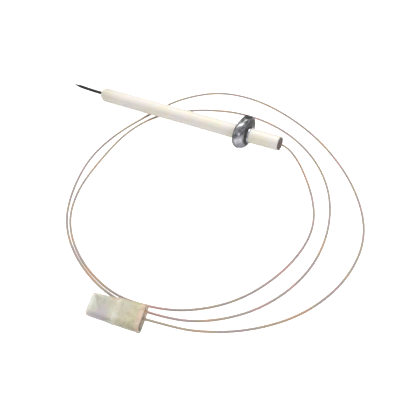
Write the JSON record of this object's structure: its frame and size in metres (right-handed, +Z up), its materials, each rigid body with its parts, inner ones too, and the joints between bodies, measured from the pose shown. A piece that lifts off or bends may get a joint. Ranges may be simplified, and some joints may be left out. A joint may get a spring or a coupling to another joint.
{
  "type": "ignition electrode",
  "caption": "Spark ignition electrode: pointed metal rod in a ceramic tube with a lobed retaining collar and a long looped lead ending in a sleeved push-on terminal.",
  "frame": {"origin": "on the surface the electrode lies on, under the middle of the electrode without its lead", "axes": "+X along the electrode seen from above, from the rod's tip to the ceramic's rear end; +Z up; the terminal lies on the -Y side"},
  "size_m": [0.1711, 0.1537, 0.017],
  "materials": {
    "ceramic": "satin",
    "electrode_alloy": "satin",
    "collar_steel": "satin",
    "cement": "matte",
    "nose_cement": "matte",
    "ferrule_steel": "satin",
    "clear_insulation": "gloss",
    "copper_strands": "satin",
    "terminal_brass": "satin",
    "sleeve_plastic": "satin"
  },
  "bodies": {
    "electrode": {"ceramic_body": "ceramic", "electrode_rod": "electrode_alloy", "nose_seal": "nose_cement", "rear_cement": "cement", "joining_ferrule": "ferrule_steel", "retaining_collar": "collar_steel", "lead_insulation": "clear_insulation", "lead_conductor": "copper_strands", "terminal_receptacle": "terminal_brass"},
    "sleeve": {"terminal_sleeve": "sleeve_plastic"}
  },
  "joints": [
    {"name": "sleeve_slide", "type": "slide", "parent": "electrode", "child": "sleeve", "axis": [0.9816, 0.1908, 0], "range_m": [0, 0.02]}
  ]
}
